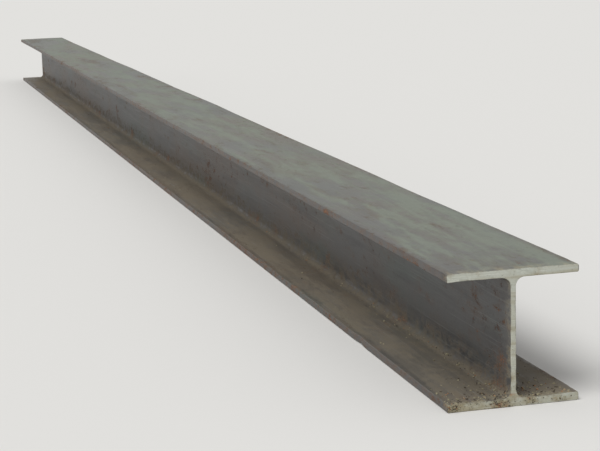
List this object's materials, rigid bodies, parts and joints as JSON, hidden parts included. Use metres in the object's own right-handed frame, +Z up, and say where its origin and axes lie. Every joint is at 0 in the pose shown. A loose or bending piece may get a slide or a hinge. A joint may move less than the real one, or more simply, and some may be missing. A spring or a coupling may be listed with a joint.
{
  "type": "steel h-beam",
  "caption": "Straight bar of hot-rolled wide-flange steel beam with an H section, sawn square at both ends and lying on one flange.",
  "frame": {"origin": "under the middle of the bar, in the plane of the lower flange's outer face, which is the floor", "axes": "+X along the bar towards the end that the picture shows, +Y across the flanges, +Z up the web"},
  "size_m": [6, 0.2, 0.2],
  "materials": {
    "rolled_steel": "matte"
  },
  "bodies": {
    "root": {"h_beam": "rolled_steel"}
  },
  "joints": []
}
